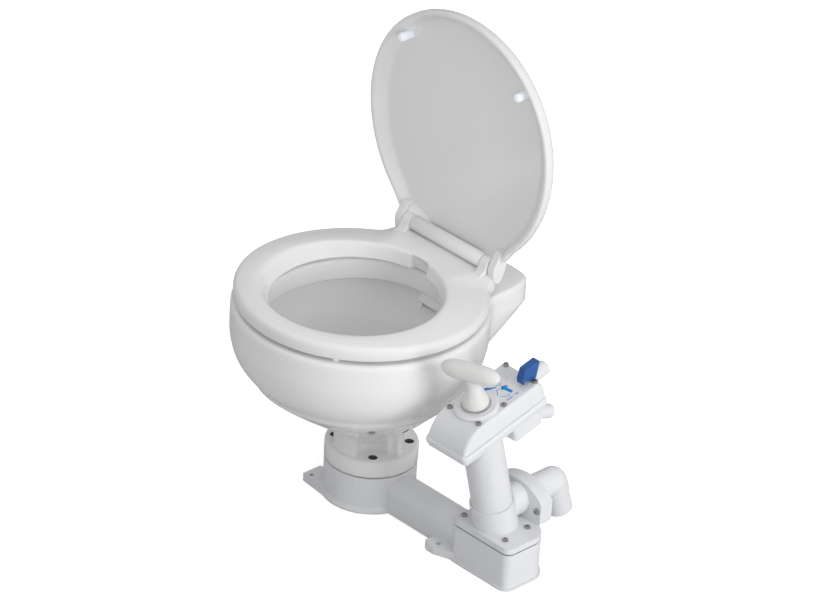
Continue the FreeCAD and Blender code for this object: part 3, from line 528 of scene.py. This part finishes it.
def build_diffuser():
    """Flush outlet on the rear wall of the bowl: a small hood over a slot."""
    rear, low, high, half, middle = 94.0, 252.0, 278.0, 25.0, 11.0
    hood, sill, cheek, depth = 13, 5, 7, 22
    bars = [(-half, half, high - hood, high), (-half, half, low, low + sill)]
    bars += [(-half, cheek - half, low, high), (half - cheek, half, low, high)]
    for k, (x0, x1, z0, z1) in enumerate(bars):
        x0, x1 = x0 + middle, x1 + middle
        outline = [(x0, rear - 9, z0), (x1, rear - 9, z0), (x1, rear - 2, z1), (x0, rear - 2, z1)]
        bar = soften(prism_object("diffuser_%d" % k, outline, (0, depth, 0)), 1.8)
        dress(bar, "toilet_frame", "ceramic")


# ---------------------------------------------------------------- seat
def seat_reach(angle):
    """Outline of the seat from the opening's centre: round, with a square neck at the hinge."""
    outer = circle_reach(angle, SEAT_R, RIM_CY - OPENING_Y)
    neck = corner_reach(angle, SEAT_NECK_X, SEAT_NECK_Y - OPENING_Y, power=16)
    return soft_max(outer, neck, width=16)


def seat_edge_top(y):
    """The seat's outer edge is a little thinner towards the hinge."""
    return SEAT_BACK_TOP + (SEAT_TOP - SEAT_BACK_TOP) * (1 - ease(-220, 120, y))


def tongue_rise(x, y):
    """Between the ears the seat runs up to touch the hinge barrel."""
    return TONGUE_RISE * ease(70, 120, y) * (1 - ease(80, 106, abs(x)))


def seat_outer_ring(angles, inset, drop, below=None):
    """Ring round the outer edge, drop under its top or, if below is given, that far above its underside."""
    ring = []
    for t in angles:
        reach = seat_reach(t) - inset
        y = OPENING_Y + reach * math.cos(t)
        x = reach * math.sin(t)
        z = seat_edge_top(y) + tongue_rise(x, y) - drop if below is None else SEAT_Z0 + below
        ring.append((x, y, z))
    return ring


def mix_rings(first, second, share, rise=0.0):
    """Ring part of the way between two others, lifted by rise."""
    ring = []
    for p, q in zip(first, second):
        point = Vector(p).lerp(Vector(q), share)
        ring.append((point.x, point.y, point.z + rise))
    return ring


def nose_ring(angles, out, z):
    """Ring round the opening, with a shallow notch at the middle of its rear."""
    ring = []
    for t in angles:
        x = (NOSE[0] + out) * math.sin(t)
        y = NOSE[2] + (NOSE[1] + out) * math.cos(t)
        if math.cos(t) > 0:
            y += NOTCH_DEPTH * (1 - ease(NOTCH_X - 1.5, NOTCH_X + 1.5, abs(x)))
        ring.append((x, y, z))
    return ring


def build_seat():
    """Closed skin: up the outer edge, over the crown, down to the opening and back along the underside."""
    angles = around(288)
    rings = [seat_outer_ring(angles, 9, 0, 0.3), seat_outer_ring(angles, 2.5, 0, 0)]
    rings += [seat_outer_ring(angles, 0.7, 0, 0.8), seat_outer_ring(angles, 0, 0, 3)]
    for turn in QUARTER_TURN:
        inset = SEAT_ROUND * (1 - math.cos(turn))
        rings.append(seat_outer_ring(angles, inset, SEAT_ROUND * (1 - math.sin(turn))))
    edge = rings[-1]
    band = oval_ring(*BAND, angles)
    for share, rise in ((0.3, 0.9), (0.6, 1.0), (0.85, 0.5), (1.0, 0.0)):
        rings.append(mix_rings(edge, band, share, rise))
    nose = nose_ring(angles, 0, NOSE[3])
    slope = ((0.1, 1.5), (0.22, 2.7), (0.36, 3.4), (0.52, 3.2), (0.7, 2.2), (0.86, 1.0), (0.95, 0.4))
    for share, rise in slope:
        rings.append(mix_rings(band, nose, share, rise))
    rings += [nose, nose_ring(angles, 1.0, SEAT_Z0 + 0.4), nose_ring(angles, 4, SEAT_Z0)]
    dress(rings_object("seat_ring", rings, loop=True), "seat_unit", "seat_plastic", "seat")


def eye_outline(radius, first_deg, last_deg):
    """Arc of (y, z) points round the hinge axis; 0 degrees looks up and angles turn to the front."""
    points = []
    steps = 14
    for k in range(steps + 1):
        t = math.radians(first_deg + (last_deg - first_deg) * k / steps)
        points.append((HINGE_Y - radius * math.sin(t), HINGE_Z + radius * math.cos(t)))
    return points


def ear_object(name, sign, reach, profile):
    """Hinge lug on one side: a (y, z) profile carried between two distances from the middle."""
    x0 = reach[0] if sign > 0 else -reach[1]
    outline = [(x0, y, z) for y, z in profile]
    return prism_object("%s_%s" % (name, side_name(sign)), outline, (reach[1] - reach[0], 0, 0))


def build_seat_ears():
    """Round eyes that stand on the seat, with a foot of (distance behind the axis, height) points."""
    foot = [(-11.6, 350), (-13, 346.4), (-16.5, 343), (-22, 340.6), (-30, 338.6), (-36, 332)]
    foot += [(2, 322), (11, 338)]
    profile = eye_outline(EAR_R, -100, 70) + [(HINGE_Y + y, z) for y, z in foot]
    for sign in (-1, 1):
        lug = ear_object("seat_ear", sign, SEAT_EAR_X, profile)
        dress(soften(lug, 1.6, 3), "seat_unit", "seat_plastic", "seat_lugs")


# ---------------------------------------------------------------- lid
def lid_reach(angle):
    """Outline of the open lid from its centre; angle 0 looks down to the hinge."""
    a = math.pi - angle
    outer = LID_R * (1 + 0.02 * math.cos(2 * a) - 0.01 * math.cos(3 * a))
    neck = corner_reach(angle, LID_NECK_X, LID_CENTRE_H - LID_FOOT_H, power=18)
    return soft_max(outer, neck, width=22)


def lid_ring(inset, depth, scale=1.0):
    """Upright ring of the lid; inset is a number or a function of the angle."""
    ring = []
    for t in around(240):
        cut = inset(t) if callable(inset) else inset
        reach = (lid_reach(t) - cut) * scale
        h = LID_CENTRE_H - reach * math.cos(t)
        ring.append((reach * math.sin(t), LID_FRONT + depth, HINGE_Z + h))
    return ring


def dish_width(angle):
    """The slope inside the lip is widest along the sides."""
    return 15 + 11 * math.sin(angle) ** 2


def build_lid():
    """Crowned back, round edge, flat lip, slope and dished middle, from the back to the front."""
    rings = [lid_ring(BACK_ROUND, LID_DEPTH + 1.2 * (1 - s * s), s) for s in (0.02, 0.3, 0.6, 0.85, 1.0)]
    for turn in QUARTER_TURN[1:]:
        depth = LID_DEPTH - BACK_ROUND * (1 - math.cos(turn))
        rings.append(lid_ring(BACK_ROUND * (1 - math.sin(turn)), depth))
    for turn in QUARTER_TURN:
        rings.append(lid_ring(LIP_ROUND * (1 - math.cos(turn)), LIP_ROUND * (1 - math.sin(turn))))
    rings.append(lid_ring(LIP_WIDTH - 1, 0.1))
    for share in (0.04, 0.12, 0.26, 0.44, 0.62, 0.8, 0.93, 1.0):
        depth = LID_DISH * math.sin(share * math.pi / 2) ** 1.15
        rings.append(lid_ring(lambda t, share=share: LIP_WIDTH + (dish_width(t) - LIP_WIDTH) * share, depth))
    for s in (0.92, 0.7, 0.4, 0.15, 0.02):
        rings.append(lid_ring(dish_width, LID_DISH + 0.4, s))
    dress(rings_object("lid_shell", rings, True, True), "lid_unit", "seat_plastic", "lid")


def build_lid_ears():
    """Lugs that run down from the lip, round the pin and on below it; (depth, height) from the axis."""
    front = [(1.2, 24), (-1.5, 17), (-5.4, 10.5), (-8.8, 5), (-10.2, -1), (-10, -8), (-8, -16), (-4.6, -21.4)]
    rear = [(0, -22.8), (5, -21), (9.5, -14), (13, -4), (14.5, 6), (14.5, 24)]
    profile = [(HINGE_Y + y, HINGE_Z + z) for y, z in front + rear]
    for sign in (-1, 1):
        lug = ear_object("lid_ear", sign, LID_EAR_X, profile)
        dress(soften(lug, 2.6, 4), "lid_unit", "seat_plastic", "lid_lugs")


def build_barrel():
    """Fixed hinge barrel on two posts that stand on the ledge."""
    edge, post_x, post_width = 0.6, 56, 22
    curve = ((-BARREL_X, BARREL_R - edge), (edge - BARREL_X, BARREL_R))
    curve += ((BARREL_X - edge, BARREL_R), (BARREL_X, BARREL_R - edge))
    rings = [hinge_ring(x, r, 48) for x, r in curve]
    dress(rings_object("barrel", rings, True, True), "toilet_frame", "hinge_plastic", "hinge_barrel")
    profile = ((128, 348), (134, 344), (148, 324), (148, 314), (129, 314))
    for sign in (-1, 1):
        x0 = sign * post_x - post_width / 2
        name = "barrel_post_%s" % side_name(sign)
        post = prism_object(name, [(x0, y, z) for y, z in profile], (post_width, 0, 0))
        dress(soften(post, 2), "toilet_frame", "hinge_plastic")


def build_pins():
    """Hinge pins, ending just inside the lid's ears."""
    end, edge = LID_EAR_X[1] - 1.5, 0.7
    curve = ((PIN_START, PIN_R), (end - edge, PIN_R), (end, PIN_R - edge))
    for sign in (-1, 1):
        rings = [hinge_ring(sign * x, r, 32) for x, r in curve]
        name = "pin_%s" % side_name(sign)
        dress(rings_object(name, rings, True, True), "toilet_frame", "steel", "hinge_pins")


# ---------------------------------------------------------------- pump
def plan_ring(x, l0, l1, corner, n):
    """Rounded rectangle across the pump's axis, from -x to x and from l0 to l1."""
    ring = []
    steps = 8
    spots = [(x - corner, l1 - corner), (x - corner, l0 + corner)]
    spots += [(corner - x, l0 + corner), (corner - x, l1 - corner)]
    for quarter, (cx, cl) in enumerate(spots):
        for k in range(steps + 1):
            t = math.radians(90 * (quarter + k / steps))
            ring.append(in_pump(cx + corner * math.sin(t), cl + corner * math.cos(t), n))
    return ring


def build_head_bead():
    """Rolled rim round the head that covers the joint of cover and body."""
    middle, half_width, half_height = 246.5, 2.8, 5.5
    rings = []
    for t in around(12):
        out, n = half_width * math.cos(t) - 0.3, middle + half_height * math.sin(t)
        rings.append(plan_ring(HEAD_X + out, HEAD_L0 - out, HEAD_L1 + out, HEAD_CORNER + out, n))
    dress(rings_object("head_bead", rings, loop=True), "toilet_frame", "pump_plastic")


def build_grip():
    """Cross bar of the T-handle: full in the middle, with blunt round ends."""
    rings = []
    steps = 40
    for k in range(steps + 1):
        s = -math.cos(math.pi * k / steps)
        along_x = GRIP_HALF * s
        radius = GRIP_R * max(1 - abs(s) ** 3.6, 0.0) ** 0.5 + 0.02
        ring = []
        for t in around(48):
            across, up = radius * math.cos(t), 0.93 * radius * math.sin(t)
            x = along_x * math.cos(GRIP_TURN) - across * math.sin(GRIP_TURN)
            l = along_x * math.sin(GRIP_TURN) + across * math.cos(GRIP_TURN)
            ring.append(in_pump(x, l, GRIP_N + up))
        rings.append(ring)
    dress(rings_object("grip_bar", rings, True, True), "handle_unit", "grip_plastic", "handle_grip")


def build_grip_hub():
    """Waisted stem of the T-handle, from (height, radius) points."""
    foot = COLLAR_TOP + 0.6
    curve = [(0, 17.6), (3, 18.6), (9, 18.0), (16, 15.2), (24, 12.0), (33, 10.6), (42, 11.4), (48, 13.2)]
    rings = [pump_ring(0, 0, foot - 0.5, 16, 64)]
    rings += [pump_ring(0, 0, foot + h, along(curve, h), 64) for h in range(0, 49, 3)]
    dress(rings_object("grip_hub", rings, True, True), "handle_unit", "grip_plastic", "handle_grip")


def build_lever():
    """Blue flow lever: a block along the head with a slanted front, arched over a small round foot."""
    foot = COVER_TOP + 0.5
    side = [(-14.5, 12.5), (-7, 24.5), (-5.5, 25.5), (18, 25.5), (21, 23)]
    side += [(10, 1), (1, 1), (-2, 4.5), (-8, 6.5), (-13, 4), (-14.8, 4.8)]
    outline = [in_pump(LEVER_X, LEVER_L + l, foot + n) for l, n in side]
    across = Vector(in_pump(1, 0, 0)) - Vector(in_pump(0, 0, 0))
    paddle = soften(prism_object("paddle", outline, across * 11.5), 1.8, 3)
    dress(paddle, "lever_unit", "blue_plastic", "flow_lever")
    curve = ((6.2, 0), (7, 0.8), (7, 6), (6, 8))
    rings = [pump_ring(LEVER_X, LEVER_L, foot + n, r, 40) for r, n in curve]
    dress(rings_object("lever_hub", rings, True, True), "lever_unit", "blue_plastic", "flow_lever")


def stroke(points, width):
    """Outline of a line of even width through (x, l) points."""
    left, right = [], []
    for i, (x, l) in enumerate(points):
        (x0, l0), (x1, l1) = points[max(i - 1, 0)], points[min(i + 1, len(points) - 1)]
        size = math.hypot(x1 - x0, l1 - l0)
        dx, dl = width / 2 * (l1 - l0) / size, -width / 2 * (x1 - x0) / size
        left.append((x + dx, l + dl))
        right.append((x - dx, l - dl))
    return left + right[::-1]


def build_marks():
    """Generic flow marks printed on the cover: a tap, a box, an angled arrow, waves and dashes."""
    arrow = [(-2.2, 48.6), (2.2, 55.4), (5.0, 53.8), (4.2, 51.6)]
    arrow += [(16.6, 52.6), (18, 47.8), (5, 46.2), (3.6, 43.6)]
    shapes = {
        "mark_tap": [(-17.5, 30), (-13.5, 29), (-9, 35), (-5, 43), (-6.5, 44), (-11.5, 37.5), (-16, 35)],
        "mark_arrow": arrow,
        "mark_box": stroke([(-9, 46), (-4, 49), (-6, 52), (-11, 49)], 0.7),
        "mark_wave_a": stroke([(-0.3, 43.6), (-1.5, 39), (2.5, 37), (6.9, 32.8)], 0.9),
        "mark_wave_b": stroke([(12.5, 32.9), (14.5, 37), (18, 38.5), (18.7, 45.6)], 0.9),
        "mark_dash_a": stroke([(24.0, 33.7), (24.4, 43.7)], 1.2),
        "mark_dash_b": stroke([(24.0, 48.7), (24.4, 54.8)], 1.2),
    }
    up = Vector(in_pump(0, 0, 1)) - Vector(in_pump(0, 0, 0))
    ink = printed_ink()
    for name, outline in shapes.items():
        mark = prism_object(name, [in_pump(x, l, COVER_TOP + 0.1) for x, l in outline], up * 0.12)
        dress(mark, "toilet_frame", "blue_plastic")
        mark.data.materials[0] = ink


build_bowl()
build_pedestal()
build_flange_bolts()
build_diffuser()
build_seat()
build_seat_ears()
build_lid()
build_lid_ears()
build_barrel()
build_pins()
build_head_bead()
build_grip()
build_grip_hub()
build_lever()
build_marks()


# ---------------------------------------------------------------- stage
def stage_floor():
    """Floor that looks white to the camera, with soft contact shadows, and throws back less light."""
    far, level = 30000, -0.5
    corners = [(-far, -far, level), (far, -far, level), (far, far, level), (-far, far, level)]
    floor = mesh_object("floor", corners, [(0, 1, 2, 3)])
    mat, nodes, links, shader = node_tree("floor_white", (0.5, 0.5, 0.5), 0.9)
    shader.inputs["Specular IOR Level"].default_value = 0.1
    tint(nodes, links, shader, noise(nodes, links, 2, 2), (0.64, 0.64, 0.645), (0.65, 0.65, 0.655))
    shown = nodes.new("ShaderNodeBsdfDiffuse")
    shown.inputs["Color"].default_value = (0.9, 0.9, 0.9, 1)
    glow = nodes.new("ShaderNodeEmission")
    glow.inputs["Strength"].default_value = 0.55
    seen = nodes.new("ShaderNodeLightPath")
    both = nodes.new("ShaderNodeAddShader")
    pick = nodes.new("ShaderNodeMixShader")
    links.new(shown.outputs["BSDF"], both.inputs[0])
    links.new(glow.outputs["Emission"], both.inputs[1])
    links.new(seen.outputs["Is Camera Ray"], pick.inputs["Fac"])
    links.new(shader.outputs["BSDF"], pick.inputs[1])
    links.new(both.outputs["Shader"], pick.inputs[2])
    links.new(pick.outputs["Shader"], nodes["Material Output"].inputs["Surface"])
    floor.data.materials.append(mat)


def aim(name, data, place, target, mirrored):
    """Stand a lamp at place looking at target; mirrored says whether glossy surfaces show it."""
    lamp = bpy.data.objects.new(name, data)
    bpy.context.scene.collection.objects.link(lamp)
    lamp.location = place
    lamp.rotation_euler = (Vector(target) - Vector(place)).to_track_quat("-Z", "Y").to_euler()
    lamp.visible_glossy = mirrored


def area_light(name, place, target, size, power, mirrored=True):
    data = bpy.data.lights.new(name, "AREA")
    data.shape = "RECTANGLE"
    data.size, data.size_y = size
    data.energy = power
    aim(name, data, place, target, mirrored)


def spot_light(name, place, target, width_deg, power):
    data = bpy.data.lights.new(name, "SPOT")
    data.energy = power
    data.spot_size = math.radians(width_deg)
    data.spot_blend = 0.6
    data.shadow_soft_size = 0.2
    aim(name, data, place, target, mirrored=False)


def stage_world():
    """Studio surroundings by height alone: pale below the horizon, grey above it and paler overhead."""
    world = bpy.data.worlds.new("world")
    bpy.context.scene.world = world
    world.use_nodes = True
    nodes, links = world.node_tree.nodes, world.node_tree.links
    coords = nodes.new("ShaderNodeTexCoord")
    split = nodes.new("ShaderNodeSeparateXYZ")
    ramp = nodes.new("ShaderNodeValToRGB")
    ramp.color_ramp.elements[0].position = 0.50
    ramp.color_ramp.elements[0].color = (0.78, 0.78, 0.78, 1)
    ramp.color_ramp.elements[1].position = 0.95
    ramp.color_ramp.elements[1].color = (0.62, 0.62, 0.63, 1)
    shades = ((0.505, (0.34, 0.335, 0.33)), (0.60, (0.38, 0.375, 0.37)), (0.72, (0.50, 0.50, 0.51)))
    for height, shade in shades:
        stop = ramp.color_ramp.elements.new(height)
        stop.color = (*shade, 1)
    raised = nodes.new("ShaderNodeMath")
    raised.operation = "MULTIPLY_ADD"
    raised.inputs[1].default_value = 0.5
    raised.inputs[2].default_value = 0.5
    links.new(coords.outputs["Generated"], split.inputs["Vector"])
    links.new(split.outputs["Z"], raised.inputs[0])
    links.new(raised.outputs["Value"], ramp.inputs["Fac"])
    links.new(ramp.outputs["Color"], nodes["Background"].inputs["Color"])
    nodes["Background"].inputs["Strength"].default_value = 1.0


def stage_light():
    """Strongest from the right; two narrow spots lift the lid and the inside of the bowl."""
    stage_world()
    middle = (0.1, 0, 0.3)
    area_light("top", (0.1, 0.3, 2.4), middle, (1.6, 1.6), 3)
    area_light("right", (2.5, 0.1, 1.0), middle, (1.0, 1.6), 33, mirrored=False)
    area_light("front_right", (2.1, -1.8, 1.5), middle, (1.2, 1.2), 9, mirrored=False)
    area_light("left", (-1.6, -2.2, 1.6), middle, (0.5, 1.2), 4, mirrored=False)
    spot_light("lid", (0.7, -1.9, 1.25), (-0.01, 0.13, 0.53), 16, 27)
    spot_light("bowl", (0.25, -0.35, 2.2), (0, -0.055, 0.3), 5.2, 90)


def stage_camera():
    """Camera from its place and its two picture directions, made square to each other."""
    data = bpy.data.cameras.new("camera")
    data.sensor_width = SENSOR
    data.lens = LENS
    data.clip_end = 100
    camera = bpy.data.objects.new("camera", data)
    bpy.context.scene.collection.objects.link(camera)
    right, up = CAM_RIGHT.normalized(), CAM_UP.normalized()
    back = right.cross(up).normalized()
    up = back.cross(right)
    turn = Matrix((right, up, back)).transposed().to_4x4()
    camera.matrix_world = Matrix.Translation(EYE) @ turn
    bpy.context.scene.camera = camera


stage_floor()
stage_light()
stage_camera()
bpy.context.scene.view_settings.view_transform = "Standard"
